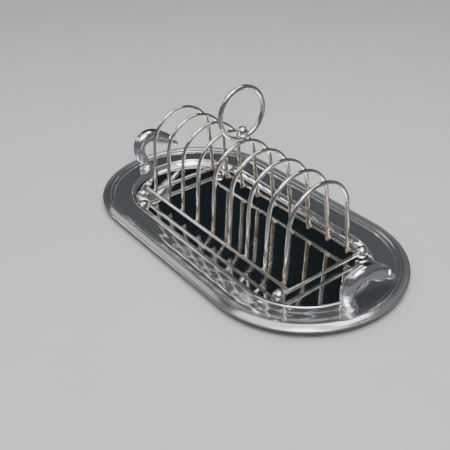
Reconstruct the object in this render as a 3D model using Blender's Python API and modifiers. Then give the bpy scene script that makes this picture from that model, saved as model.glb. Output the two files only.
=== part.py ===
"""Nine-bar toast rack of bent wire, standing loose on its own oblong handled tray.

Metres, +Z up. The tray lies along X with its underside on z = 0 and its centre on the origin.
The rack's own pieces hang from an empty that marks where the rack stands in the tray's well.
"""

import math

import bmesh
import bpy
from mathutils import Matrix, Vector

# ---------------------------------------------------------------- driving dimensions
PITCH = 0.022                # spacing of the bars along the rack
BARS = 9
BAR_WIRE = 0.0016            # radius of the bars' wire
LONG_RAIL_WIRE = 0.0014      # radius of the two long rails
END_RAIL_WIRE = 0.0016       # radius of the two end rails
FIT = 0.0003                 # clearance left at every soldered or resting contact
SHEET = 0.0012               # thickness of the tray's sheet

BALL_FOOT = 0.0052           # radius of a ball foot
BALL_HALF_SPAN_Y = 0.0428    # ball centre to the rack's centre line
END_RAIL_X = 0.0941          # end rail to the middle bar
RAIL_OVERHANG = 0.0024       # long rail's end past the end rail's axis
SOCKET_DEPTH = 0.0030        # how far an end rail enters its ball

ARCH_RADIUS = 0.0291         # half-round top of a bar
LEG_HALF_SPREAD = 0.0325     # leg to the centre line at the rails
SPRING_RISE = 0.0418         # rails to the start of the half-round top
LEG_TAIL = 0.0014            # leg's end below the rail's axis

RING_RADIUS = 0.0208         # carrying ring, to the middle of its wire
RING_WIRE = 0.0019           # radius of the ring's wire, a gauge up from the bars'
FINIAL = 0.0045              # radius of the ball that pins the ring to the middle bar
FINIAL_SINK = 0.0012         # how far the finial is saddled over the ring's wire

TRAY_STRAIGHT = 0.074        # half the straight stretch of the tray's outline
FLOOR_RADIUS = 0.0485        # end radii of the tray's concentric outlines
WELL_RADIUS = 0.0550
BORDER_RADIUS = 0.0795
BORDER_HEIGHT = 0.0060       # top of the flat border over the table
WELL_BEAD = 0.00035          # height of the thin raised line round the well
WELL_BEAD_WIDTH = 0.0014

HANDLE_FOOT_OUT = 0.0620     # handle's foot past the end of the tray's straight stretch
RACK_PLACE = Vector((0.0020, 0.0005, 0.0))   # where the rack stands, from the tray's centre

# ---------------------------------------------------------------- derived heights
FLOOR_TOP = SHEET
BALL_Z = FLOOR_TOP + FIT + BALL_FOOT
LONG_RAIL_Z = BALL_Z + END_RAIL_WIRE + FIT + LONG_RAIL_WIRE
LONG_RAIL_Y = LEG_HALF_SPREAD + BAR_WIRE + FIT + LONG_RAIL_WIRE
SPRING_Z = LONG_RAIL_Z + SPRING_RISE
CROWN_Z = SPRING_Z + ARCH_RADIUS
RING_Z = CROWN_Z + BAR_WIRE + FIT + RING_WIRE + RING_RADIUS
FINIAL_Z = RING_Z - RING_RADIUS + RING_WIRE + FINIAL - FINIAL_SINK

# ---------------------------------------------------------------- facet counts
OUTLINE_SEGMENTS = 72        # round the tray
ARCH_SEGMENTS = 16           # round the top of a bar
WIRE_RESOLUTION = 2          # curve bevel resolution, which gives eight sides
BALL_SEGMENTS, BALL_RINGS = 20, 12
RAIL_SIDES = 12
RING_SEGMENTS, RING_SIDES = 40, 10
COVE_STEPS = 5
SHARP_EDGE = math.radians(35)


def clear_scene():
    """Remove whatever the scene holds."""
    for obj in list(bpy.data.objects):
        bpy.data.objects.remove(obj, do_unlink=True)


def new_collection(name):
    """A collection linked to the scene."""
    collection = bpy.data.collections.new(name)
    bpy.context.scene.collection.children.link(collection)
    return collection


def plate_material(name, colour, roughness):
    """A plated metal finish."""
    material = bpy.data.materials.new(name)
    material.use_nodes = True
    shader = material.node_tree.nodes["Principled BSDF"]
    shader.inputs["Base Color"].default_value = (*colour, 1.0)
    shader.inputs["Metallic"].default_value = 1.0
    shader.inputs["Roughness"].default_value = roughness
    return material


clear_scene()
PARTS = new_collection("toast_rack")
GUIDES = new_collection("guides")
SILVER_WIRE = plate_material("silver_plated_wire", (0.80, 0.76, 0.66), 0.14)
SILVER_CAST = plate_material("silver_plated_casting", (0.86, 0.86, 0.86), 0.08)
SILVER_SHEET = plate_material("silver_plated_sheet", (0.74, 0.75, 0.75), 0.12)

rack_seat = bpy.data.objects.new("rack_seat", None)
rack_seat.location = RACK_PLACE
PARTS.objects.link(rack_seat)


# ---------------------------------------------------------------- helpers
def add_object(name, data, material, parent=None, collection=PARTS):
    """Link a new object that carries data and material."""
    obj = bpy.data.objects.new(name, data)
    collection.objects.link(obj)
    obj.data.materials.append(material)
    obj.parent = parent
    return obj


def mark_as_guide(obj):
    """Keep a cutter or a profile out of the model."""
    obj.hide_render = True
    obj.display_type = "WIRE"


def wire(name, points, radius, material, parent=None, radii=None):
    """A round wire along a polyline; radii scale it from point to point."""
    curve = bpy.data.curves.new(name, "CURVE")
    curve.dimensions = "3D"
    curve.bevel_depth = radius
    curve.bevel_resolution = WIRE_RESOLUTION
    curve.use_fill_caps = True
    curve.twist_mode = "MINIMUM"
    spline = curve.splines.new("POLY")
    spline.points.add(len(points) - 1)
    for index, point in enumerate(points):
        spline.points[index].co = (*point, 1.0)
        spline.points[index].radius = radii[index] if radii else 1.0
    return add_object(name, curve, material, parent)


def mesh_object(name, bm, material, parent=None, collection=PARTS):
    """Turn a bmesh into a smooth-shaded object."""
    mesh = bpy.data.meshes.new(name)
    bm.to_mesh(mesh)
    bm.free()
    mesh.shade_smooth()
    mesh.set_sharp_from_angle(angle=SHARP_EDGE)
    return add_object(name, mesh, material, parent, collection)


def rod(name, length, radius, location, axis, material, parent=None, collection=PARTS):
    """A straight round bar centred on location."""
    bm = bmesh.new()
    bmesh.ops.create_cone(
        bm, cap_ends=True, segments=RAIL_SIDES, radius1=radius, radius2=radius, depth=length
    )
    obj = mesh_object(name, bm, material, parent, collection)
    obj.rotation_euler = Vector(axis).to_track_quat("Z", "Y").to_euler()
    obj.location = location
    return obj


def ball(name, radius, location, cutter, parent):
    """A ball with the cutter's shape sunk into it."""
    bm = bmesh.new()
    bmesh.ops.create_uvsphere(
        bm, u_segments=BALL_SEGMENTS, v_segments=BALL_RINGS, radius=radius
    )
    obj = mesh_object(name, bm, SILVER_CAST, parent)
    obj.location = location
    cut = obj.modifiers.new("socket", "BOOLEAN")
    cut.operation = "DIFFERENCE"
    cut.solver = "EXACT"
    cut.object = cutter
    return obj


# ---------------------------------------------------------------- the rack
def bar_points(x):
    """Centre line of one inverted-U bar: splayed legs and a half-round top."""
    tail = LONG_RAIL_Z - LEG_TAIL
    points = [(x, -LEG_HALF_SPREAD, tail)]
    for step in range(ARCH_SEGMENTS + 1):
        angle = math.pi * step / ARCH_SEGMENTS
        points.append(
            (x, -ARCH_RADIUS * math.cos(angle), SPRING_Z + ARCH_RADIUS * math.sin(angle))
        )
    points.append((x, LEG_HALF_SPREAD, tail))
    return points


def build_bars():
    """The toast bars, numbered from the -X end."""
    middle = (BARS + 1) / 2
    for number in range(1, BARS + 1):
        x = (number - middle) * PITCH
        wire(f"bar_{number}", bar_points(x), BAR_WIRE, SILVER_WIRE, rack_seat)


def build_rails():
    """Two long rails outside the legs, lying on two end rails."""
    length = 2 * (END_RAIL_X + RAIL_OVERHANG)
    for name, side in (("long_rail_front", -1), ("long_rail_back", 1)):
        rod(name, length, LONG_RAIL_WIRE, (0, side * LONG_RAIL_Y, LONG_RAIL_Z), (1, 0, 0),
            SILVER_WIRE, rack_seat)
    end_length = 2 * (BALL_HALF_SPAN_Y - BALL_FOOT + SOCKET_DEPTH)
    for name, side in (("end_rail_left", -1), ("end_rail_right", 1)):
        rod(name, end_length, END_RAIL_WIRE, (side * END_RAIL_X, 0, BALL_Z), (0, 1, 0),
            SILVER_WIRE, rack_seat)


def build_ball_feet():
    """Four balls, each drilled for its end rail."""
    for end, x in (("left", -END_RAIL_X), ("right", END_RAIL_X)):
        for side, sign in (("front", -1), ("back", 1)):
            name = f"ball_foot_{side}_{end}"
            y = sign * BALL_HALF_SPAN_Y
            drill_length = 2 * BALL_FOOT
            drill_end = BALL_FOOT - SOCKET_DEPTH - FIT
            drill = rod(f"{name}_drill", drill_length, END_RAIL_WIRE + FIT,
                        (x, y - sign * (drill_end + drill_length / 2), BALL_Z), (0, 1, 0),
                        SILVER_CAST, rack_seat, GUIDES)
            mark_as_guide(drill)
            ball(name, BALL_FOOT, (x, y, BALL_Z), drill, rack_seat)


def torus(name, minor_radius, material, collection):
    """The ring handle's torus, upright in the plane of the bars."""
    bm = bmesh.new()
    bmesh.ops.create_circle(bm, segments=RING_SIDES, radius=minor_radius)
    bmesh.ops.translate(bm, verts=bm.verts, vec=(RING_RADIUS, 0, 0))
    bmesh.ops.rotate(
        bm, verts=bm.verts, cent=(RING_RADIUS, 0, 0), matrix=Matrix.Rotation(math.pi / 2, 3, "X")
    )
    bmesh.ops.spin(
        bm, geom=list(bm.verts) + list(bm.edges), cent=(0, 0, 0), axis=(0, 0, 1),
        angle=math.tau, steps=RING_SEGMENTS, use_merge=True,
    )
    bmesh.ops.remove_doubles(bm, verts=bm.verts, dist=0.00001)
    bmesh.ops.recalc_face_normals(bm, faces=bm.faces)
    obj = mesh_object(name, bm, material, rack_seat, collection)
    obj.rotation_euler = (0, math.pi / 2, 0)
    obj.location = (0, 0, RING_Z)
    return obj


def build_ring():
    """Carrying ring on the middle bar's crown, held down by a saddled ball."""
    torus("carrying_ring", RING_WIRE, SILVER_WIRE, PARTS)
    saddle = torus("finial_saddle", RING_WIRE + FIT, SILVER_CAST, GUIDES)
    mark_as_guide(saddle)
    ball("ring_finial", FINIAL, (0, 0, FINIAL_Z), saddle, rack_seat)


# ---------------------------------------------------------------- the tray
def stretch_to_oblong(verts):
    """Move each half of a round outline outwards, so that it becomes a long oblong."""
    for vert in verts:
        vert.co.x += math.copysign(TRAY_STRAIGHT, vert.co.x)


def pan_section():
    """Radius and height of the pan's top surface, from the floor's edge outwards."""
    section = []
    for step in range(1, COVE_STEPS + 1):
        t = step / COVE_STEPS
        radius = FLOOR_RADIUS + (WELL_RADIUS - FLOOR_RADIUS) * t
        section.append((radius, FLOOR_TOP + (BORDER_HEIGHT - FLOOR_TOP) * t * t))
    section.append((WELL_RADIUS + WELL_BEAD_WIDTH / 2, BORDER_HEIGHT + WELL_BEAD))
    section.append((WELL_RADIUS + WELL_BEAD_WIDTH, BORDER_HEIGHT))
    section.append((BORDER_RADIUS, BORDER_HEIGHT))
    return section


def build_pan():
    """Pressed sheet: flat floor, cove, raised line and flat border."""
    bm = bmesh.new()
    half_step = math.pi / OUTLINE_SEGMENTS
    made = bmesh.ops.create_circle(
        bm, cap_ends=True, segments=OUTLINE_SEGMENTS, radius=FLOOR_RADIUS
    )
    turn = Matrix.Rotation(half_step, 3, "Z")
    bmesh.ops.rotate(bm, verts=made["verts"], cent=(0, 0, 0), matrix=turn)
    bmesh.ops.translate(bm, verts=made["verts"], vec=(0, 0, FLOOR_TOP))
    edge = [e for e in bm.edges if e.is_boundary]
    for radius, height in pan_section():
        ring = bmesh.ops.extrude_edge_only(bm, edges=edge)["geom"]
        for vert in (g for g in ring if isinstance(g, bmesh.types.BMVert)):
            flat = Vector((vert.co.x, vert.co.y)).normalized() * radius
            vert.co = (flat.x, flat.y, height)
        edge = [g for g in ring if isinstance(g, bmesh.types.BMEdge)]
    stretch_to_oblong(bm.verts)
    bmesh.ops.recalc_face_normals(bm, faces=bm.faces)
    if max(bm.faces, key=lambda f: f.calc_area()).normal.z < 0:
        bmesh.ops.reverse_faces(bm, faces=bm.faces)
    pan = mesh_object("tray_pan", bm, SILVER_SHEET)
    shell = pan.modifiers.new("sheet", "SOLIDIFY")
    shell.thickness = SHEET
    shell.offset = -1.0
    return pan


def rim_section():
    """Closed section of the applied rim: step, crest, broad outer slope and rolled lip.

    Offsets outwards from the border's edge and upwards from the border's top.
    """
    return [
        (-0.0080, FIT), (-0.0080, 0.0007), (-0.0070, 0.0011), (-0.0056, 0.0013),
        (-0.0046, 0.0018), (-0.0036, 0.0023), (-0.0028, 0.0023), (-0.0016, 0.0019),
        (0.0002, 0.0013), (0.0013, 0.0009), (0.0020, 0.0010), (0.0026, 0.0006),
        (0.0028, 0.0000), (0.0025, -0.0009), (0.0015, -0.0013), (0.0004, -0.0010),
        (0.0003, FIT),
    ]


def build_rim():
    """Drawn moulding swept round the border's edge."""
    profile = bpy.data.curves.new("rim_profile", "CURVE")
    profile.dimensions = "2D"
    spline = profile.splines.new("POLY")
    section = rim_section()
    spline.points.add(len(section) - 1)
    spline.use_cyclic_u = True
    for point, (out, up) in zip(spline.points, reversed(section)):
        point.co = (-out, up, 0, 1)
    profile_object = bpy.data.objects.new("rim_profile", profile)
    GUIDES.objects.link(profile_object)
    mark_as_guide(profile_object)

    path = bpy.data.curves.new("tray_rim", "CURVE")
    path.dimensions = "2D"
    path.fill_mode = "NONE"
    path.bevel_mode = "OBJECT"
    path.bevel_object = profile_object
    outline = path.splines.new("POLY")
    outline.points.add(OUTLINE_SEGMENTS - 1)
    outline.use_cyclic_u = True
    for index, point in enumerate(outline.points):
        angle = math.tau * (index + 0.5) / OUTLINE_SEGMENTS
        x, y = BORDER_RADIUS * math.cos(angle), BORDER_RADIUS * math.sin(angle)
        point.co = (x + math.copysign(TRAY_STRAIGHT, x), y, 0, 1)
    rim = add_object("tray_rim", path, SILVER_SHEET)
    rim.location = (0, 0, BORDER_HEIGHT)
    return rim


def handle_stations():
    """Bird-neck handle from its foot to the bill: along the border, up, outward lean, and radius."""
    return [
        (-0.0119, 0.0003, 0.0000, 0.0070), (-0.0119, 0.0012, 0.0000, 0.0070),
        (-0.0120, 0.0024, 0.0000, 0.0065), (-0.0124, 0.0042, 0.0001, 0.0055),
        (-0.0137, 0.0072, 0.0002, 0.0050), (-0.0155, 0.0125, 0.0009, 0.0052),
        (-0.0164, 0.0185, 0.0019, 0.0055), (-0.0149, 0.0242, 0.0028, 0.0058),
        (-0.0104, 0.0283, 0.0035, 0.0061), (-0.0040, 0.0296, 0.0041, 0.0064),
        (0.0036, 0.0275, 0.0044, 0.0067), (0.0103, 0.0232, 0.0045, 0.0065),
        (0.0138, 0.0212, 0.0046, 0.0062), (0.0162, 0.0199, 0.0047, 0.0054),
        (0.0170, 0.0189, 0.0048, 0.0034), (0.0200, 0.0163, 0.0050, 0.0029),
        (0.0240, 0.0136, 0.0051, 0.0026), (0.0274, 0.0117, 0.0052, 0.0019),
        (0.0288, 0.0109, 0.0052, 0.0010),
    ]


def build_handles():
    """One cast bird-neck handle across each end of the tray, the pair mirrored."""
    for name, end in (("handle_left", -1), ("handle_right", 1)):
        points, radii = [], []
        for along, up, lean, radius in handle_stations():
            out = TRAY_STRAIGHT + HANDLE_FOOT_OUT + lean
            points.append((end * out, along, BORDER_HEIGHT + up))
            radii.append(radius)
        wire(name, points, 1.0, SILVER_CAST, radii=radii)


build_bars()
build_rails()
build_ball_feet()
build_ring()
build_pan()
build_rim()
build_handles()
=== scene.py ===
"""Finished looks of a silver-plated toast rack and its tray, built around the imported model."""

import logging
import math
from dataclasses import dataclass
from enum import Enum
from typing import Iterable, Sequence

import bmesh
import bpy
from mathutils import Matrix, Vector, noise


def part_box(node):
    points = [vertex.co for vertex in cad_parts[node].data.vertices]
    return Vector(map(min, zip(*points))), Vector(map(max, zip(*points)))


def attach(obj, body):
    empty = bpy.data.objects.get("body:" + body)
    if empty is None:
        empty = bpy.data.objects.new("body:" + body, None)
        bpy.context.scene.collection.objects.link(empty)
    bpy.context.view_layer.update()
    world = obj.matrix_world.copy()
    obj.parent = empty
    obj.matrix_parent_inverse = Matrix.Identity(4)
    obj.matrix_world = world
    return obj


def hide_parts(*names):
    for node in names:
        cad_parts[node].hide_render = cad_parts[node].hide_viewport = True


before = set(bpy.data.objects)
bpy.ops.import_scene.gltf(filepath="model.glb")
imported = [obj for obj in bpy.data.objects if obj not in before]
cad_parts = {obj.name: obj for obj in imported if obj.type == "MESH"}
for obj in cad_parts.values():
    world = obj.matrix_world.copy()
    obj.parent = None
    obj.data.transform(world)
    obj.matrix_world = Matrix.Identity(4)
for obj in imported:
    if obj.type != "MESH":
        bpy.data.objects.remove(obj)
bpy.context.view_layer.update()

LOG = logging.getLogger("toast_rack")
MM = 0.001
SHEET = 1.2 * MM
BORDER_TOP = 6.0 * MM
END_ROUND_SHARE = 0.35
END_TURNS = (0.35, 0.75, 1.0)
BEAD_LUMPS = 0.09
Loop = list[Vector]


# ------------------------------------------------------------------ forming meshes
def between(a: float, b: float, t: float) -> float:
    """The value a share t of the way from a to b."""
    return a + (b - a) * t


def ease(t: float) -> float:
    """A smooth step from 0 to 1, held level outside that stretch."""
    t = min(max(t, 0.0), 1.0)
    return t * t * (3.0 - 2.0 * t)


def bell(distance: float, width: float) -> float:
    """A smooth bump of height 1 that fades over about twice its width."""
    return math.exp(-((distance / width) ** 2))


def smooth_through(points: Sequence[Sequence[float]], steps: int) -> list[list[float]]:
    """Run a smooth curve through rows of numbers.

    Args:
        points: Rows of equal length that the curve passes through.
        steps: How many stretches to put between two neighbouring rows.

    Returns:
        The rows of the curve, both ends included.
    """
    rows = []
    last = len(points) - 1
    for index in range(last):
        p0, p1 = points[max(index - 1, 0)], points[index]
        p2, p3 = points[index + 1], points[min(index + 2, last)]
        for step in range(steps):
            t = step / steps
            rows.append([
                0.5 * (2 * b + (c - a) * t + (2 * a - 5 * b + 4 * c - d) * t * t
                       + (3 * b - a - 3 * c + d) * t ** 3)
                for a, b, c, d in zip(p0, p1, p2, p3)
            ])
    rows.append(list(points[last]))
    return rows


def loft(
    name: str, loops: Sequence[Loop], closed: bool = False, shades: Sequence[Sequence[float]] = ()
) -> bpy.types.Object:
    """Skin a row of matching closed loops by extruding a ring from one to the next.

    Args:
        name: The piece's name.
        loops: Closed loops with the same number of points each.
        closed: Whether the last loop joins the first; otherwise both ends are filled.
        shades: The painted shade at each point, darkest in the creases, kept as a point attribute.

    Returns:
        A smooth-shaded mesh object whose place is in its mesh.
    """
    bm = bmesh.new()
    place = bm.verts.layers.int.new("place")
    # Painted shade for the creases, kept on the points.
    crease_shade = bm.verts.layers.float.new("crease_shade") if shades else None
    ring = bmesh.ops.create_circle(bm, segments=len(loops[0]))["verts"]
    for index, vert in enumerate(ring):
        vert[place] = index
        vert.co = loops[0][index]
    edges = list(bm.edges)
    if not closed:
        bmesh.ops.contextual_create(bm, geom=edges)
    course = list(loops[1:]) + ([loops[0]] if closed else [])
    for number, loop in enumerate(course, start=1):
        grown = bmesh.ops.extrude_edge_only(bm, edges=edges)["geom"]
        for vert in (g for g in grown if isinstance(g, bmesh.types.BMVert)):
            vert.co = loop[vert[place]]
            if crease_shade is not None:
                vert[crease_shade] = shades[number][vert[place]]
        edges = [g for g in grown if isinstance(g, bmesh.types.BMEdge)]
    if closed:
        bmesh.ops.remove_doubles(bm, verts=bm.verts, dist=0.001 * MM)
    else:
        bmesh.ops.contextual_create(bm, geom=edges)
    bmesh.ops.recalc_face_normals(bm, faces=bm.faces)
    return finish_mesh(name, bm)


def finish_mesh(name: str, bm: bmesh.types.BMesh, sharp_degrees: float = 40.0) -> bpy.types.Object:
    """Turn a bmesh into an object linked to the scene, smooth where its faces meet gently."""
    mesh = bpy.data.meshes.new(name)
    bm.to_mesh(mesh)
    bm.free()
    mesh.shade_smooth()
    mesh.set_sharp_from_angle(angle=math.radians(sharp_degrees))
    obj = bpy.data.objects.new(name, mesh)
    bpy.context.scene.collection.objects.link(obj)
    return obj


def wire_loops(path: Sequence[Vector], side_axis: Vector, radius: float, sides: int) -> list[Loop]:
    """Round sections along a path that lies in one plane, its cut ends slightly rounded over.

    Args:
        path: Centre line of the wire.
        side_axis: Unit normal of the path's plane.
        radius: Radius of the wire.
        sides: Points round the wire.

    Returns:
        One closed loop for each section.
    """
    stations = []
    last = len(path) - 1
    for index, centre in enumerate(path):
        tangent = (path[min(index + 1, last)] - path[max(index - 1, 0)]).normalized()
        stations.append((centre, tangent, radius))
    round_over = END_ROUND_SHARE * radius
    shrunk = [round_over * (1 - math.sin(turn * math.pi / 2)) for turn in END_TURNS]
    start, start_way, _ = stations[0]
    head = [(start, start_way, radius - round_over)]
    head += [(start + start_way * less, start_way, radius - less) for less in shrunk]
    end, end_way, _ = stations[-1]
    tail = [(end - end_way * less, end_way, radius - less) for less in reversed(shrunk)]
    tail.append((end, end_way, radius - round_over))
    stations = head + stations[1:-1] + tail
    loops = []
    for centre, tangent, size in stations:
        across = tangent.cross(side_axis).normalized()
        loops.append([
            centre + size * (math.cos(a) * side_axis + math.sin(a) * across)
            for a in (math.tau * k / sides for k in range(sides))
        ])
    return loops


def solder_bead(bm: bmesh.types.BMesh, centre: Vector, reach: Vector, seed: int) -> None:
    """Add one slightly lumpy bead of solder to a bmesh."""
    made = bmesh.ops.create_uvsphere(bm, u_segments=20, v_segments=12, radius=1.0)["verts"]
    for vert in made:
        lump = 1.0 + BEAD_LUMPS * noise.noise(vert.co * 1.7 + Vector((seed, 0.3 * seed, 0)))
        vert.co = centre + Vector(a * b * lump for a, b in zip(vert.co, reach))


# ------------------------------------------------------------------ finishes
class Socket(Enum):
    """Socket kinds of a shader group."""

    FLOAT = "NodeSocketFloat"
    VECTOR = "NodeSocketVector"
    COLOUR = "NodeSocketColor"


@dataclass
class Tree:
    """A node tree with short ways to add nodes and to join sockets."""

    nodes: bpy.types.Nodes
    links: bpy.types.NodeLinks

    def add(self, kind: str, **settings: object) -> bpy.types.Node:
        """Add a node of a kind and set its properties."""
        node = self.nodes.new(kind)
        for key, value in settings.items():
            setattr(node, key, value)
        return node

    def feed(self, socket: bpy.types.NodeSocket, value: object) -> None:
        """Link a socket to an output, or set it to a plain value."""
        if isinstance(value, bpy.types.NodeSocket):
            self.links.new(value, socket)
        else:
            socket.default_value = value

    def maths(self, operation: str, a: object, b: object, clamp: bool = False) -> bpy.types.NodeSocket:
        """One arithmetic step on a and b."""
        node = self.add("ShaderNodeMath", operation=operation, use_clamp=clamp)
        self.feed(node.inputs[0], a)
        self.feed(node.inputs[1], b)
        return node.outputs[0]

    def scaled_sum(self, value: object, factor: object, base: object) -> bpy.types.NodeSocket:
        """A value times a factor, plus a base."""
        node = self.add("ShaderNodeMath", operation="MULTIPLY_ADD")
        for socket, given in zip(node.inputs, (value, factor, base)):
            self.feed(socket, given)
        return node.outputs[0]

    def noise(
        self, vector: object, scale: object, detail: float, rough: float = 0.5
    ) -> bpy.types.NodeSocket:
        """Fractal noise of a scale, as a value."""
        node = self.add("ShaderNodeTexNoise")
        self.feed(node.inputs["Vector"], vector)
        self.feed(node.inputs["Scale"], scale)
        self.feed(node.inputs["Detail"], detail)
        self.feed(node.inputs["Roughness"], rough)
        return node.outputs["Fac"]

    def band(self, value: object, low: float, high: float) -> bpy.types.NodeSocket:
        """Map a stretch of values smoothly onto 0 to 1."""
        node = self.add("ShaderNodeMapRange", interpolation_type="SMOOTHSTEP")
        self.feed(node.inputs["Value"], value)
        self.feed(node.inputs["From Min"], low)
        self.feed(node.inputs["From Max"], high)
        return node.outputs["Result"]

    def blend(self, share: object, a: object, b: object) -> bpy.types.NodeSocket:
        """Blend from colour a to colour b by a share."""
        node = self.add("ShaderNodeMix", data_type="RGBA", blend_type="MIX")
        self.feed(node.inputs[0], share)
        self.feed(node.inputs[6], a)
        self.feed(node.inputs[7], b)
        return node.outputs[2]

    def stretched(
        self, vector: object, turn: Sequence[float], scale: Sequence[float]
    ) -> bpy.types.NodeSocket:
        """Turn and stretch a vector."""
        node = self.add("ShaderNodeMapping")
        self.feed(node.inputs["Vector"], vector)
        node.inputs["Rotation"].default_value = turn
        node.inputs["Scale"].default_value = scale
        return node.outputs["Vector"]

    def group(self, tree: bpy.types.NodeTree, **values: object) -> bpy.types.Node:
        """Place a shared group and feed its inputs."""
        node = self.add("ShaderNodeGroup", node_tree=tree)
        for key, value in values.items():
            self.feed(node.inputs[key], value)
        return node


def start_group(
    name: str, inputs: Iterable[tuple[str, Socket, object]], outputs: Iterable[tuple[str, Socket]]
) -> tuple[Tree, dict, bpy.types.Node, bpy.types.NodeTree]:
    """Begin a shader group.

    Args:
        name: The group's name.
        inputs: Name, kind and default of each input.
        outputs: Name and kind of each output.

    Returns:
        The tree to build in, its inputs by name, its output node and the group itself.
    """
    tree = bpy.data.node_groups.new(name, "ShaderNodeTree")
    for label, kind, default in inputs:
        socket = tree.interface.new_socket(label, in_out="INPUT", socket_type=kind.value)
        if default is not None:
            socket.default_value = default
    for label, kind in outputs:
        tree.interface.new_socket(label, in_out="OUTPUT", socket_type=kind.value)
    build = Tree(tree.nodes, tree.links)
    start = build.add("NodeGroupInput")
    end = build.add("NodeGroupOutput")
    return build, {s.name: s for s in start.outputs if s.name}, end, tree


class SharedEffects:
    """Surface effects that several finishes use, each built once as a shader group."""

    # How far each set of scratches is turned, in radians, and how many times longer than wide it is.
    scratch_sets = ((0.35, 26.0), (1.45, 20.0), (2.55, 32.0))
    scratch_sharpness = 6.0
    haze_scale = 0.06
    fine_wear_share = 0.25
    fine_wear_scale = 6.0
    spot_level = 0.78
    spot_spread = 0.4
    spot_sharpness = 7.0

    def __init__(self) -> None:
        """Build the groups."""
        self.wear = self._plate_wear()
        self.scratches = self._polishing_scratches()
        self.ripple = self._sheet_ripple()
        self.tarnish = self._tarnish_spots()

    def _plate_wear(self) -> bpy.types.NodeTree:
        """Patches where thin plate lets the warm base metal through."""
        build, given, end, tree = start_group(
            "plate_wear",
            [
                ("Vector", Socket.VECTOR, None),
                ("Silver", Socket.COLOUR, (0.8, 0.8, 0.8, 1)),
                ("Base Metal", Socket.COLOUR, (0.7, 0.6, 0.4, 1)),
                ("Amount", Socket.FLOAT, 0.5),
                ("Scale", Socket.FLOAT, 60.0),
            ],
            [("Colour", Socket.COLOUR), ("Mask", Socket.FLOAT)],
        )
        patches = build.noise(given["Vector"], given["Scale"], 4.0, 0.6)
        fine_scale = build.maths("MULTIPLY", given["Scale"], self.fine_wear_scale)
        fine = build.noise(given["Vector"], fine_scale, 3.0)
        mixed = build.scaled_sum(fine, self.fine_wear_share, patches)
        middle = 0.5 + 0.5 * self.fine_wear_share
        lifted = build.maths("ADD", mixed, build.maths("SUBTRACT", given["Amount"], middle))
        mask = build.band(lifted, 0.38, 0.68)
        build.feed(end.inputs["Mask"], mask)
        build.feed(end.inputs["Colour"], build.blend(mask, given["Silver"], given["Base Metal"]))
        return tree

    def _polishing_scratches(self) -> bpy.types.NodeTree:
        """Hair-fine marks from years of polishing, in three directions."""
        build, given, end, tree = start_group(
            "polishing_scratches",
            [
                ("Vector", Socket.VECTOR, None),
                ("Scale", Socket.FLOAT, 900.0),
                ("Threshold", Socket.FLOAT, 0.6),
            ],
            [("Height", Socket.FLOAT), ("Haze", Socket.FLOAT)],
        )
        total = None
        for turn, slim in self.scratch_sets:
            lay = build.stretched(given["Vector"], (0.2 * turn, 0.1, turn), (1.0, 1.0 / slim, 1.0))
            line = build.noise(lay, given["Scale"], 2.0, 0.7)
            cut = build.maths("SUBTRACT", line, given["Threshold"])
            cut = build.maths("MULTIPLY", cut, self.scratch_sharpness, clamp=True)
            total = cut if total is None else build.maths("MAXIMUM", total, cut)
        build.feed(end.inputs["Height"], total)
        haze_scale = build.maths("MULTIPLY", given["Scale"], self.haze_scale)
        haze = build.noise(given["Vector"], haze_scale, 4.0, 0.6)
        build.feed(end.inputs["Haze"], build.band(haze, 0.35, 0.7))
        return tree

    def _sheet_ripple(self) -> bpy.types.NodeTree:
        """Slow unevenness of hand-finished metal, which makes its reflections waver."""
        build, given, end, tree = start_group(
            "sheet_ripple",
            [("Vector", Socket.VECTOR, None), ("Scale", Socket.FLOAT, 30.0)],
            [("Height", Socket.FLOAT)],
        )
        slow = build.noise(given["Vector"], given["Scale"], 2.0, 0.4)
        build.feed(end.inputs["Height"], slow)
        return tree

    def _tarnish_spots(self) -> bpy.types.NodeTree:
        """Small dark spots and blooms of tarnish."""
        build, given, end, tree = start_group(
            "tarnish_spots",
            [
                ("Vector", Socket.VECTOR, None),
                ("Scale", Socket.FLOAT, 140.0),
                ("Spread", Socket.FLOAT, 0.3),
            ],
            [("Mask", Socket.FLOAT)],
        )
        spots = build.noise(given["Vector"], given["Scale"], 5.0, 0.65)
        drop = build.maths("MULTIPLY", given["Spread"], self.spot_spread)
        level = build.maths("SUBTRACT", self.spot_level, drop)
        over = build.maths("SUBTRACT", spots, level)
        build.feed(end.inputs["Mask"], build.maths("MULTIPLY", over, self.spot_sharpness, clamp=True))
        return tree


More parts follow.
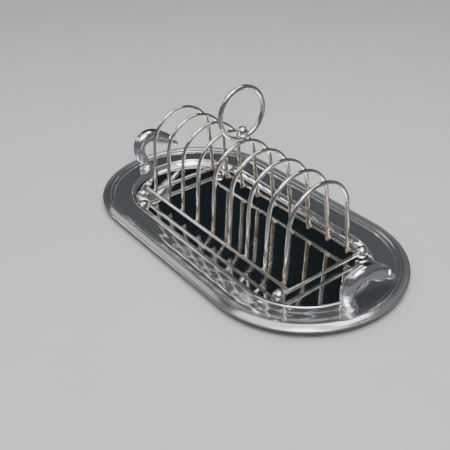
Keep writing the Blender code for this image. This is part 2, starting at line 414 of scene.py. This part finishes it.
@dataclass(frozen=True)
class PlateFinish:
    """A silver-plate finish and how worn, scratched and tarnished it is, with painted shade in creases where
    given.
    """

    name: str
    silver: tuple[float, float, float] = (0.86, 0.86, 0.86)
    base_metal: tuple[float, float, float] = (0.74, 0.62, 0.42)
    tarnish: tuple[float, float, float] = (0.20, 0.13, 0.07)
    metallic: float = 1.0
    roughness: float = 0.08
    wear: float = 0.2
    wear_roughness: float = 0.06
    wear_scale: float = 70.0
    low_wear: float = 0.0
    low_wear_top: float = 0.05
    back_wear: float = 0.0
    back_wear_reach: tuple[float, float] = (-0.02, 0.03)
    joint_tarnish: float = 0.0
    joint_top: float = 0.016
    joint_scale: float = 120.0
    tarnish_roughness: float = 0.25
    haze: float = 0.08
    scratch_scale: float = 900.0
    scratch_depth: float = 0.01
    ripple_scale: float = 30.0
    ripple_depth: float = 0.0
    spots: float = 0.2
    # Point attribute holding painted shade for creases, darkened with the tarnish colour.
    crease_shade_attribute: str = ""

    def make(self, effects: SharedEffects) -> bpy.types.Material:
        """Build the material.

        Args:
            effects: The shared shader groups.

        Returns:
            A node material for this finish.
        """
        material = bpy.data.materials.new(self.name)
        material.use_nodes = True
        tree = Tree(material.node_tree.nodes, material.node_tree.links)
        shader = tree.nodes["Principled BSDF"]
        shader.inputs["Metallic"].default_value = self.metallic
        where = tree.add("ShaderNodeTexCoord").outputs["Object"]
        place = tree.add("ShaderNodeSeparateXYZ")
        tree.feed(place.inputs[0], where)

        worn = tree.group(effects.wear, Vector=where, Silver=(*self.silver, 1), Scale=self.wear_scale,
                          Amount=self._wear_amount(tree, place), **{"Base Metal": (*self.base_metal, 1)})
        tarnish_and_shade = self._tarnish_and_crease_shade(tree, effects, where, place)
        # The tarnish colour covers real tarnish and joints, and paints shade where crease shade is given.
        colour = tree.blend(tarnish_and_shade, worn.outputs["Colour"], (*self.tarnish, 1))
        tree.feed(shader.inputs["Base Color"], colour)

        marks = tree.group(effects.scratches, Vector=where, Scale=self.scratch_scale)
        rough = tree.scaled_sum(marks.outputs["Haze"], self.haze, self.roughness)
        rough = tree.scaled_sum(worn.outputs["Mask"], self.wear_roughness, rough)
        rough = tree.scaled_sum(tarnish_and_shade, self.tarnish_roughness, rough)
        tree.feed(shader.inputs["Roughness"], rough)
        relief = self._relief(tree, effects, where, marks.outputs["Height"])
        tree.feed(shader.inputs["Normal"], relief)
        return material

    def _wear_amount(self, tree: Tree, place: bpy.types.Node) -> object:
        """How much plate is gone: everywhere, more towards the foot and more at the back."""
        amount: object = self.wear
        if self.low_wear:
            low = tree.band(place.outputs["Z"], self.low_wear_top, 0.0)
            amount = tree.scaled_sum(low, self.low_wear, amount)
        if self.back_wear:
            back = tree.band(place.outputs["Y"], *self.back_wear_reach)
            amount = tree.scaled_sum(back, self.back_wear, amount)
        return amount

    def _tarnish_and_crease_shade(
        self, tree: Tree, effects: SharedEffects, where: bpy.types.NodeSocket, place: bpy.types.Node
    ) -> bpy.types.NodeSocket:
        """Where the tarnish colour goes: real tarnish in spots and round the soldered joints, and painted
        shade in the creases.
        """
        tarnish_and_shade = tree.group(effects.tarnish, Vector=where, Spread=self.spots).outputs["Mask"]
        # Painted shade: creases darkened by the stored shade values.
        if self.crease_shade_attribute:
            crease_shade = tree.add("ShaderNodeAttribute", attribute_name=self.crease_shade_attribute)
            tarnish_and_shade = tree.maths("MAXIMUM", tarnish_and_shade, crease_shade.outputs["Fac"])
        if self.joint_tarnish:
            near = tree.band(place.outputs["Z"], self.joint_top, 0.6 * self.joint_top)
            patchy = tree.band(tree.noise(where, self.joint_scale, 3.0), 0.35, 0.65)
            near = tree.maths("MULTIPLY", tree.maths("MULTIPLY", near, patchy), self.joint_tarnish)
            tarnish_and_shade = tree.maths("MAXIMUM", tarnish_and_shade, near)
        return tarnish_and_shade

    def _relief(
        self, tree: Tree, effects: SharedEffects, where: bpy.types.NodeSocket, height: bpy.types.NodeSocket
    ) -> bpy.types.NodeSocket:
        """Fine scratches cut into the surface, over its slow ripple if it has one."""
        bump = tree.add("ShaderNodeBump", invert=True)
        bump.inputs["Strength"].default_value = 1.0
        bump.inputs["Distance"].default_value = self.scratch_depth * MM
        tree.feed(bump.inputs["Height"], height)
        if self.ripple_depth:
            wave = tree.add("ShaderNodeBump")
            wave.inputs["Strength"].default_value = 1.0
            wave.inputs["Distance"].default_value = self.ripple_depth * MM
            ripple = tree.group(effects.ripple, Vector=where, Scale=self.ripple_scale)
            tree.feed(wave.inputs["Height"], ripple.outputs["Height"])
            tree.feed(bump.inputs["Normal"], wave.outputs["Normal"])
        return bump.outputs["Normal"]


class Finishes:
    """Every finish on the object, made once."""

    def __init__(self) -> None:
        """Build the shared effects and the materials."""
        effects = SharedEffects()
        self.bar = PlateFinish(
            "worn_bar_plate", silver=(0.82, 0.78, 0.70), base_metal=(0.66, 0.53, 0.35), roughness=0.06,
            wear=0.26, low_wear=0.20, low_wear_top=0.075, back_wear=0.12, joint_tarnish=0.5, haze=0.08,
            ripple_scale=90.0, ripple_depth=0.05,
        ).make(effects)
        self.rail = PlateFinish(
            "rail_plate", silver=(0.78, 0.74, 0.67), base_metal=(0.60, 0.46, 0.29), roughness=0.10,
            wear=0.32, haze=0.10,
        ).make(effects)
        self.ring = PlateFinish(
            "ring_plate", silver=(0.84, 0.83, 0.80), base_metal=(0.70, 0.58, 0.38), roughness=0.09,
            wear=0.16,
        ).make(effects)
        self.ball = PlateFinish(
            "ball_plate", silver=(0.86, 0.85, 0.82), base_metal=(0.72, 0.60, 0.40), roughness=0.05,
            wear=0.16, ripple_scale=160.0, ripple_depth=0.04,
        ).make(effects)
        # Its near-black tarnish colour also paints shade into the casting's creases.
        self.casting = PlateFinish(
            "polished_casting", silver=(0.88, 0.88, 0.90), base_metal=(0.78, 0.70, 0.54),
            tarnish=(0.09, 0.08, 0.09), roughness=0.09, wear=0.06, ripple_scale=110.0, ripple_depth=0.06,
            crease_shade_attribute="crease_shade",
        ).make(effects)
        self.solder = PlateFinish(
            "solder", silver=(0.60, 0.52, 0.40), base_metal=(0.36, 0.24, 0.13), roughness=0.26,
            wear=0.5, spots=0.5,
        ).make(effects)
        self.well = PlateFinish(
            "mirror_well", silver=(0.80, 0.83, 0.82), base_metal=(0.70, 0.66, 0.52), roughness=0.03,
            wear=0.05, haze=0.05, ripple_scale=22.0, ripple_depth=0.06, scratch_depth=0.003,
        ).make(effects)
        self.border = PlateFinish(
            "satin_border", silver=(0.72, 0.73, 0.74), base_metal=(0.62, 0.58, 0.48), metallic=0.92,
            roughness=0.04, wear=0.10, haze=0.05, ripple_scale=40.0, ripple_depth=0.08,
            scratch_depth=0.006,
        ).make(effects)
        self.rim = PlateFinish(
            "rim_plate", silver=(0.80, 0.81, 0.82), base_metal=(0.70, 0.66, 0.54), metallic=0.93,
            roughness=0.08, wear=0.10, haze=0.07, ripple_scale=60.0, ripple_depth=0.06,
        ).make(effects)


def dress(obj: bpy.types.Object, material: bpy.types.Material, body: str, slot: str, *nodes: str) -> None:
    """Give a piece its finish, unless it has one, its body and the nodes it stands for."""
    if not obj.data.materials:
        obj.data.materials.append(material)
    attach(obj, body)
    if nodes:
        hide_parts(*nodes)
    LOG.info("%s: %d faces on %s", obj.name, len(obj.data.polygons), body)


# ------------------------------------------------------------------ the rack
@dataclass
class Rack:
    """The wire rack: bars, rails, ball feet, ring and solder."""

    finishes: Finishes
    bars: int = 9
    half_round: float = 29.1 * MM
    wire_sides: int = 28
    arc_steps: int = 56
    leg_steps: int = 10
    rail_steps: int = 40
    ring_steps: int = 128
    ball_segments: tuple[int, int] = (48, 32)
    collar_start: float = 0.9
    collar_reach: float = 0.10
    leg_bead: tuple[float, float, float] = (1.15, 0.8, 0.95)
    corner_bead: tuple[float, float, float] = (1.9 * MM, 1.9 * MM, 1.1 * MM)

    def build(self) -> None:
        """Build every piece of the rack."""
        for number in range(1, self.bars + 1):
            self.bar(number)
        for name, axis in (("long_rail_front", 0), ("long_rail_back", 0),
                           ("end_rail_left", 1), ("end_rail_right", 1)):
            self.rail(name, axis)
        for side in ("front", "back"):
            for end in ("left", "right"):
                self.ball_foot(f"ball_foot_{side}_{end}")
        self.ring()
        self.finial()
        self.solder()

    def bar(self, number: int) -> None:
        """One inverted-U bar, drawn as straight legs tangent to a half-round top."""
        node = f"bar_{number}"
        low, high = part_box(node)
        radius = (high.x - low.x) / 2
        x, y = (high.x + low.x) / 2, (high.y + low.y) / 2
        crown = high.z - radius
        spring = crown - self.half_round
        foot_y = (high.y - low.y) / 2 - radius
        splay = math.atan2(foot_y - self.half_round, spring - low.z)
        arc = []
        for step in range(self.arc_steps + 1):
            angle = between(splay, math.pi - splay, step / self.arc_steps)
            arc.append(Vector((x, y - self.half_round * math.cos(angle),
                               spring + self.half_round * math.sin(angle))))
        left = [Vector((x, y - foot_y, low.z)).lerp(arc[0], s / self.leg_steps)
                for s in range(self.leg_steps)]
        right = [Vector((x, 2 * y - p.y, p.z)) for p in reversed(left)]
        loops = wire_loops(left + arc + right, Vector((1, 0, 0)), radius, self.wire_sides)
        dress(loft(f"toast_bar_{number}", loops), self.finishes.bar, "rack", "bar_wire", node)

    def rail(self, node: str, axis: int) -> None:
        """One straight rail along an axis, its ends rounded over."""
        low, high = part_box(node)
        middle = (low + high) / 2
        radius = (high.z - low.z) / 2
        half = (high[axis] - low[axis]) / 2
        path = []
        for step in range(self.rail_steps + 1):
            point = middle.copy()
            point[axis] += between(-half, half, step / self.rail_steps)
            path.append(point)
        loops = wire_loops(path, Vector((0, 0, 1)), radius, self.wire_sides)
        dress(loft(f"{node}_wire", loops), self.finishes.rail, "rack", "rail_wire", node)

    def ball(self, radius: float) -> bmesh.types.BMesh:
        """A plain ball about the origin."""
        bm = bmesh.new()
        across, up = self.ball_segments
        bmesh.ops.create_uvsphere(bm, u_segments=across, v_segments=up, radius=radius)
        return bm

    def ball_foot(self, node: str) -> None:
        """A turned ball foot with a small collar where its rail enters."""
        low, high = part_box(node)
        radius = (high.z - low.z) / 2
        z, x = (high.z + low.z) / 2, (high.x + low.x) / 2
        outward = -1.0 if low.y < 0 else 1.0
        y = (high.y if outward > 0 else low.y) - outward * radius
        bm = self.ball(radius)
        bmesh.ops.rotate(bm, verts=bm.verts, cent=(0, 0, 0), matrix=Matrix.Rotation(math.pi / 2, 3, "X"))
        for vert in bm.verts:
            inward = -outward * vert.co.y / radius
            share = ease((inward - self.collar_start) / (1.0 - self.collar_start))
            vert.co.y -= outward * self.collar_reach * radius * share
        bmesh.ops.translate(bm, verts=bm.verts, vec=(x, y, z))
        dress(finish_mesh(f"{node}_turned", bm), self.finishes.ball, "rack", "ball_casting", node)

    def ring(self) -> None:
        """The carrying ring, a closed loop of wire in the plane of the bars."""
        low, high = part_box("carrying_ring")
        radius = (high.x - low.x) / 2
        centre = (low + high) / 2
        sweep = (high.z - low.z) / 2 - radius
        loops = []
        for step in range(self.ring_steps):
            angle = math.tau * step / self.ring_steps
            spoke = Vector((0, math.cos(angle), math.sin(angle)))
            loops.append([
                centre + spoke * (sweep + radius * math.cos(a)) + Vector((radius * math.sin(a), 0, 0))
                for a in (math.tau * k / self.wire_sides for k in range(self.wire_sides))
            ])
        dress(loft("carrying_ring_wire", loops, closed=True), self.finishes.ring, "rack", "bar_wire",
              "carrying_ring")

    def finial(self) -> None:
        """The ball seated over the ring's wire."""
        low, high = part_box("ring_finial")
        radius = (high.x - low.x) / 2
        centre = Vector(((low.x + high.x) / 2, (low.y + high.y) / 2, high.z - radius))
        bm = self.ball(radius)
        bmesh.ops.translate(bm, verts=bm.verts, vec=centre)
        dress(finish_mesh("ring_finial_ball", bm), self.finishes.ball, "rack", "ball_casting", "ring_finial")

    def solder(self) -> None:
        """Beads of solder at every joint of the frame."""
        bm = bmesh.new()
        seed = 0
        for number in range(1, self.bars + 1):
            low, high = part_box(f"bar_{number}")
            x = (low.x + high.x) / 2
            wire = (high.x - low.x) / 2
            for rail in ("long_rail_front", "long_rail_back"):
                rail_low, rail_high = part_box(rail)
                inner = rail_high.y if rail_high.y < 0 else rail_low.y
                seed += 1
                where = Vector((x, inner, (rail_low.z + rail_high.z) / 2))
                solder_bead(bm, where, Vector(self.leg_bead) * wire, seed)
        for end in ("end_rail_left", "end_rail_right"):
            end_low, end_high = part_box(end)
            for rail in ("long_rail_front", "long_rail_back"):
                rail_low, rail_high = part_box(rail)
                seed += 1
                where = Vector(((end_low.x + end_high.x) / 2, (rail_low.y + rail_high.y) / 2,
                                (end_high.z + rail_low.z) / 2))
                solder_bead(bm, where, Vector(self.corner_bead), seed)
        dress(finish_mesh("rack_solder", bm), self.finishes.solder, "rack", "rail_wire")


# ------------------------------------------------------------------ the tray
@dataclass
class Tray:
    """The oblong tray without its handles: the pressed pan and the applied rim."""

    finishes: Finishes
    outline_steps: int = 240
    straight: float = 74.0 * MM
    floor_radius: float = 48.5 * MM
    well_radius: float = 55.0 * MM
    border_radius: float = 71.3 * MM
    edge_radius: float = 79.5 * MM
    floor_top: float = SHEET
    border_top: float = BORDER_TOP
    floor_rings: tuple[float, ...] = (6.0 * MM, 20.0 * MM, 34.0 * MM, 45.0 * MM, 48.2 * MM)
    cove_steps: int = 16
    bead_width: float = 1.1 * MM
    bead_height: float = 0.30 * MM
    bead_steps: int = 8
    border_domes: int = 2
    border_wave: float = 0.07 * MM
    border_steps: int = 24
    sharp_degrees: float = 50.0

    def build(self) -> None:
        """Build every piece of the tray."""
        self.pan()
        self.rim()

    def oblong(self, radius: float, height: float) -> Loop:
        """One closed outline of the tray, a radius out from its middle line."""
        loop = []
        for step in range(self.outline_steps):
            angle = math.tau * (step + 0.5) / self.outline_steps
            x, y = radius * math.cos(angle), radius * math.sin(angle)
            loop.append(Vector((x + math.copysign(self.straight, x), y, height)))
        return loop

    def pan_top(self) -> list[tuple[float, float]]:
        """Radius and height of the pan's top face, from near its middle outwards."""
        section = [(radius, self.floor_top) for radius in self.floor_rings]
        for step in range(self.cove_steps + 1):
            t = step / self.cove_steps
            section.append((between(self.floor_radius, self.well_radius, t),
                            between(self.floor_top, self.border_top, t * t)))
        for step in range(1, self.bead_steps + 1):
            t = step / self.bead_steps
            section.append((self.well_radius + self.bead_width * t,
                            self.border_top + self.bead_height * math.sin(math.pi * t)))
        border_start = self.well_radius + self.bead_width
        for step in range(1, self.border_steps + 1):
            t = step / self.border_steps
            sunk = self.border_wave * (0.5 + 0.5 * math.cos(self.border_domes * math.tau * t))
            section.append((between(border_start, self.border_radius, t),
                            self.border_top - sunk * ease(6.0 * t)))
        section.append((self.border_radius + 0.3 * MM, self.border_top))
        section.append((self.edge_radius, self.border_top))
        return section

    def pan(self) -> None:
        """The pan as an open pressed sheet, given its thickness at the end."""
        section = self.pan_top()
        bm = bmesh.new()
        place = bm.verts.layers.int.new("place")
        ring = bmesh.ops.create_circle(bm, segments=self.outline_steps, cap_ends=True)["verts"]
        start = self.oblong(*section[0])
        for index, vert in enumerate(ring):
            vert[place] = index
            vert.co = start[index]
        edges = list(bm.edges)
        border_start = self.well_radius - 0.2 * MM
        for radius, height in section[1:]:
            loop = self.oblong(radius, height)
            known = set(bm.faces)
            grown = bmesh.ops.extrude_edge_only(bm, edges=edges)["geom"]
            for vert in (g for g in grown if isinstance(g, bmesh.types.BMVert)):
                vert.co = loop[vert[place]]
            edges = [g for g in grown if isinstance(g, bmesh.types.BMEdge)]
            if radius > border_start:
                for face in set(bm.faces) - known:
                    face.material_index = 1
        bmesh.ops.recalc_face_normals(bm, faces=bm.faces)
        if sum(f.normal.z * f.calc_area() for f in bm.faces) < 0:
            bmesh.ops.reverse_faces(bm, faces=bm.faces)
        pan = finish_mesh("tray_pan_sheet", bm, self.sharp_degrees)
        pan.data.materials.append(self.finishes.well)
        pan.data.materials.append(self.finishes.border)
        sheet = pan.modifiers.new("sheet", "SOLIDIFY")
        sheet.thickness = SHEET
        sheet.offset = -1.0
        dress(pan, self.finishes.well, "tray", "tray_sheet", "tray_pan")

    def rim(self) -> None:
        """The applied rim, its closed section carried round the outline."""
        section = smooth_through([
            (-8.0, 0.05), (-8.0, 0.55), (-7.6, 0.95), (-6.8, 1.1), (-5.9, 1.15), (-5.1, 1.4), (-4.4, 1.9),
            (-3.8, 2.2), (-3.2, 2.3), (-2.5, 2.2), (-1.2, 1.8), (0.2, 1.3), (1.1, 0.95), (1.45, 0.8),
            (1.75, 0.95), (2.2, 0.95), (2.6, 0.6), (2.75, 0.0), (2.5, -0.8), (1.6, -1.25), (0.6, -1.0),
            (0.3, -0.4), (0.3, 0.05), (-3.8, 0.05),
        ], 4)[:-1]
        loops = []
        for step in range(self.outline_steps):
            angle = math.tau * (step + 0.5) / self.outline_steps
            spoke = Vector((math.cos(angle), math.sin(angle), 0))
            centre = Vector((math.copysign(self.straight, spoke.x), 0, self.border_top))
            loops.append([centre + spoke * (self.edge_radius + out * MM) + Vector((0, 0, up * MM))
                          for out, up in section])
        dress(loft("tray_rim_moulding", loops, closed=True), self.finishes.rim, "tray", "rim_moulding",
              "tray_rim")


@dataclass(frozen=True)
class NeckStation:
    """One place along the handle's bird neck, in millimetres from the foot's place on the border."""

    along: float
    up: float
    lean: float
    radius: float


@dataclass
class Handle:
    """One cast bird-neck handle: flared foot, arched neck, hooded head and small bill."""

    finishes: Finishes
    end: float
    foot_out: float = 136.0 * MM
    border_top: float = BORDER_TOP
    around: int = 96
    steps: int = 9
    level_rows: int = 2
    crest: float = math.pi / 2
    hood_start: float = 9.8
    hood_end: float = 13.8
    hood_front: float = 15.4
    hood_side: float = math.radians(72)
    hood_brow: float = math.radians(33)
    hood_step: float = 0.17
    hood_step_width: float = math.radians(9)
    hood_groove_depth: float = 0.12
    hood_groove_width: float = math.radians(7)
    cheek_end: float = math.radians(110)
    cheek_fade: float = math.radians(25)
    crest_start: float = 5.0
    crest_end: float = 11.5
    crest_groove_depth: float = 0.05
    crest_groove_width: float = math.radians(8)
    # How strongly the creases are painted dark as shade, and the most painted shade allowed.
    crease_shade_gain: float = 7.0
    crease_shade_limit: float = 0.85

    def stations(self) -> list[NeckStation]:
        """The neck's course, from under the foot to the bill's tip."""
        course = [
            (-11.9, 0.1, 0.0, 6.6), (-11.9, 0.5, 0.0, 7.1), (-11.9, 1.3, 0.0, 7.0), (-12.0, 2.5, 0.0, 6.0),
            (-12.4, 3.9, 0.1, 4.9), (-13.0, 5.4, 0.1, 5.4), (-13.7, 7.2, 0.2, 4.8), (-15.5, 12.5, 0.9, 5.0),
            (-16.4, 18.5, 1.9, 5.4), (-14.9, 24.2, 2.8, 5.7), (-10.4, 28.3, 3.5, 6.1), (-4.0, 29.6, 4.1, 6.4),
            (3.6, 27.5, 4.4, 6.7), (10.3, 23.2, 4.5, 6.5), (13.6, 21.3, 4.6, 6.3), (15.8, 20.1, 4.7, 5.8),
            (16.5, 19.6, 4.7, 5.2), (16.8, 19.2, 4.8, 3.1), (17.3, 18.5, 4.9, 2.9), (20.2, 16.2, 5.0, 2.9),
            (24.0, 13.6, 5.1, 2.6), (26.8, 11.9, 5.2, 2.1), (28.4, 11.1, 5.2, 1.3), (28.9, 10.8, 5.2, 0.5),
        ]
        return [NeckStation(*row) for row in smooth_through(course, self.steps)]

    def build(self) -> None:
        """Loft the casting, with painted shade stored along its creases."""
        rows = self.stations()
        side = "left" if self.end < 0 else "right"
        centres = [Vector((self.end * (self.foot_out + row.lean * MM), row.along * MM,
                           self.border_top + row.up * MM)) for row in rows]
        loops, crease_shades = [], []
        last = len(rows) - 1
        for index, (row, centre) in enumerate(zip(rows, centres)):
            tangent = (centres[min(index + 1, last)] - centres[max(index - 1, 0)]).normalized()
            if index <= self.level_rows * self.steps:
                tangent = Vector((0, 0, 1))
            outward = Vector((self.end, 0, 0))
            outward = (outward - tangent * outward.dot(tangent)).normalized()
            crestward = tangent.cross(outward) * -self.end
            loop, crease_shade = self.section(index / self.steps, row.radius * MM, centre, outward, crestward)
            loops.append(loop)
            crease_shades.append(crease_shade)
        piece = loft(f"handle_{side}_casting", loops, shades=crease_shades)
        dress(piece, self.finishes.casting, "tray", "handle_casting", f"handle_{side}")

    def section(
        self, station: float, radius: float, centre: Vector, outward: Vector, crestward: Vector
    ) -> tuple[Loop, list[float]]:
        """One section of the casting.

        Args:
            station: How far along the course, counted in its rows.
            radius: Radius of the section before its grooves.
            centre: Middle of the section.
            outward: Unit vector away from the tray's middle.
            crestward: Unit vector towards the outside of the bend.

        Returns:
            The section's points, and the painted shade at the bottom of its grooves at each point.
        """
        loop, crease_shade = [], []
        for k in range(self.around):
            angle = math.tau * k / self.around
            off_crest = abs((angle - self.crest + math.pi) % math.tau - math.pi)
            groove = self.groove(station, off_crest)
            loop.append(centre + (outward * math.cos(angle) + crestward * math.sin(angle))
                        * radius * (1.0 - groove))
            # Painted shade, deepest at the bottom of the creases.
            crease_shade.append(min(self.crease_shade_gain * self.line(station, off_crest), self.crease_shade_limit))
        return loop, crease_shade

    def hood_edge(self, station: float) -> float:
        """Angle off the crest at which the hood ends, rising over the cheek towards the face."""
        t = (station - self.hood_start) / (self.hood_end - self.hood_start)
        return between(self.hood_side, self.hood_brow, ease(t))

    def line(self, station: float, off_crest: float) -> float:
        """Depth of the two fine creases, one along the crest of the neck and one along the hood's edge.

        Args:
            station: How far along the course, counted in its rows.
            off_crest: Angle from the crest, in radians.

        Returns:
            The share of the radius that the creases take away.
        """
        hood = bell(off_crest - self.hood_edge(station), self.hood_groove_width)
        hood *= ease((station - self.hood_start) / 1.2) * (1.0 - ease((station - self.hood_front) / 0.4))
        crest = bell(off_crest, self.crest_groove_width)
        crest *= ease((station - self.crest_start) / 2.0) * (1.0 - ease((station - self.crest_end) / 1.5))
        return self.hood_groove_depth * hood + self.crest_groove_depth * crest

    def groove(self, station: float, off_crest: float) -> float:
        """Share of the radius taken away by the creases and by the cheek set back under the hood.

        Args:
            station: How far along the course, counted in its rows.
            off_crest: Angle from the crest, in radians.

        Returns:
            The share of the radius taken away there.
        """
        under = ease((off_crest - self.hood_edge(station)) / self.hood_step_width)
        low = 1.0 - ease((off_crest - self.cheek_end) / self.cheek_fade)
        cheek = ease((station - self.hood_start) / 2.0) * (1.0 - ease((station - self.hood_front) / 0.5))
        return self.line(station, off_crest) + self.hood_step * under * low * cheek


# ------------------------------------------------------------------ studio
@dataclass(frozen=True)
class Softbox:
    """One rectangular softbox: where it hangs, what it faces and how bright its face is."""

    name: str
    place: tuple[float, float, float]
    size: tuple[float, float]
    brightness: float
    aim: tuple[float, float, float] = (0.0, 0.0, 0.03)

    def build(self) -> None:
        """Hang the softbox and aim it."""
        data = bpy.data.lights.new(self.name, "AREA")
        data.shape = "RECTANGLE"
        data.size, data.size_y = self.size
        data.energy = math.pi * self.brightness * self.size[0] * self.size[1]
        lamp = bpy.data.objects.new(self.name, data)
        lamp.location = self.place
        lamp.rotation_euler = (Vector(self.aim) - Vector(self.place)).to_track_quat("-Z", "Y").to_euler()
        bpy.context.scene.collection.objects.link(lamp)


@dataclass(frozen=True)
class Studio:
    """Pale floor, soft lights, a dark drape behind the tray, and the camera."""

    softboxes: tuple[Softbox, ...] = (
        Softbox("ceiling", (0.25, -0.35, 1.05), (1.5, 1.3), 1.1, aim=(0.25, -0.35, 0.0)),
        Softbox("left_window", (-0.95, -0.10, 0.85), (0.30, 0.50), 0.5),
        Softbox("left_window_low", (-1.00, -0.62, 0.66), (0.16, 0.45), 6.0),
        Softbox("far_window", (-0.68, 0.58, 1.12), (0.70, 0.25), 0.3),
        Softbox("back_window", (-0.05, 0.42, 0.98), (0.55, 0.30), 3.0),
    )
    key_middle: tuple[float, float, float] = (0.33, -0.20, 0.97)
    key_spread: float = 0.145
    key_side: float = 0.25
    key_brightness: float = 9.0
    floor_half: float = 3.0
    floor_drop: float = 0.1 * MM
    floor_mottle: float = 0.97
    floor_colour: tuple[float, float, float] = (0.58, 0.58, 0.57)
    floor_reflected_shade: tuple[float, float, float] = (0.12, 0.13, 0.15)
    horizon: tuple[float, float, float] = (0.12, 0.12, 0.13)
    room: tuple[float, float, float] = (0.13, 0.13, 0.14)
    drape: tuple[float, float, float] = (0.012, 0.018, 0.022)
    drape_middle: tuple[float, float, float] = (-0.68, 0.49, 0.55)
    drape_edge: tuple[float, float] = (math.radians(44), math.radians(28))
    drape_hem: tuple[float, float] = (0.10, 0.26)
    fill: tuple[float, float, float] = (0.42, 0.42, 0.42)
    backdrop: tuple[float, float, float] = (0.56, 0.56, 0.55)
    camera_place: tuple[float, float, float] = (0.3876, -0.2974, 0.3222)
    heading: float = 54.25
    look_down: float = 33.19
    roll: float = -2.31
    lens: float = 54.84
    sensor: float = 36.0

    def build(self) -> None:
        """Build floor, surround, lights and camera."""
        self.floor()
        self.world()
        for softbox in self.softboxes:
            softbox.build()
        self.key_window()
        self.camera()

    def key_window(self) -> None:
        """The brightest light, a window of two by two panes with dark bars between them."""
        x, y, z = self.key_middle
        for row in (-1, 1):
            for column in (-1, 1):
                place = (x + self.key_spread * column, y + self.key_spread * row, z)
                Softbox(f"key_pane_{row}_{column}", place, (self.key_side, self.key_side),
                        self.key_brightness, aim=(0.0, 0.0, 0.0)).build()

    def floor(self) -> None:
        """A pale matt floor, painted dark where the metal reflects it, in place of a flag's shade."""
        bm = bmesh.new()
        bmesh.ops.create_grid(bm, x_segments=2, y_segments=2, size=self.floor_half)
        bmesh.ops.translate(bm, verts=bm.verts, vec=(0, 0, -self.floor_drop))
        floor = finish_mesh("studio_floor", bm)
        material = bpy.data.materials.new("pale_paper")
        material.use_nodes = True
        tree = Tree(material.node_tree.nodes, material.node_tree.links)
        shader = tree.nodes["Principled BSDF"]
        shader.inputs["Roughness"].default_value = 0.9
        where = tree.add("ShaderNodeTexCoord").outputs["Object"]
        mottling = tree.noise(where, 14.0, 3.0)
        deeper = (*(self.floor_mottle * c for c in self.floor_colour), 1)
        tone = tree.blend(tree.band(mottling, 0.2, 0.8), (*self.floor_colour, 1), deeper)
        # Painted shade: glossy rays see the floor dark, so the metal reflects a dark floor.
        mirrored = tree.add("ShaderNodeLightPath").outputs["Is Glossy Ray"]
        tree.feed(shader.inputs["Base Color"], tree.blend(mirrored, tone, (*self.floor_reflected_shade, 1)))
        floor.data.materials.append(material)

    def world(self) -> None:
        """A dim room with a dark drape in the metal's reflections, and a pale backdrop to the camera."""
        world = bpy.data.worlds.new("surround")
        world.use_nodes = True
        tree = Tree(world.node_tree.nodes, world.node_tree.links)
        background = tree.nodes["Background"]
        direction = tree.add("ShaderNodeTexCoord").outputs["Generated"]
        height = tree.add("ShaderNodeSeparateXYZ")
        tree.feed(height.inputs[0], direction)
        room = tree.blend(tree.band(height.outputs["Z"], 0.0, 0.25), (*self.horizon, 1), (*self.room, 1))
        towards = tree.add("ShaderNodeVectorMath", operation="DOT_PRODUCT")
        tree.feed(towards.inputs[0], direction)
        tree.feed(towards.inputs[1], Vector(self.drape_middle).normalized())
        drape = tree.band(towards.outputs["Value"], *(math.cos(angle) for angle in self.drape_edge))
        drape = tree.maths("MULTIPLY", drape, tree.band(height.outputs["Z"], *self.drape_hem))
        room = tree.blend(drape, room, (*self.drape, 1))
        ray = tree.add("ShaderNodeLightPath")
        lit = tree.blend(ray.outputs["Is Diffuse Ray"], room, (*self.fill, 1))
        seen = tree.blend(ray.outputs["Is Camera Ray"], lit, (*self.backdrop, 1))
        tree.feed(background.inputs["Color"], seen)
        bpy.context.scene.world = world

    def camera(self) -> None:
        """The camera, looking down along the rack from its right-hand end."""
        data = bpy.data.cameras.new("view")
        data.lens = self.lens
        data.sensor_width = self.sensor
        data.clip_start, data.clip_end = 0.01, 20.0
        camera = bpy.data.objects.new("view", data)
        turn = (Matrix.Rotation(math.radians(self.heading), 4, "Z")
                @ Matrix.Rotation(math.radians(90.0 - self.look_down), 4, "X")
                @ Matrix.Rotation(math.radians(self.roll), 4, "Z"))
        camera.matrix_world = Matrix.Translation(Vector(self.camera_place)) @ turn
        bpy.context.scene.collection.objects.link(camera)
        bpy.context.scene.camera = camera


def main() -> None:
    """Build the studio, then the rack and the tray."""
    logging.basicConfig(level=logging.INFO, format="%(message)s")
    Studio().build()
    finishes = Finishes()
    Rack(finishes).build()
    Tray(finishes).build()
    for end in (-1.0, 1.0):
        Handle(finishes, end).build()


if __name__ == "__main__":
    main()
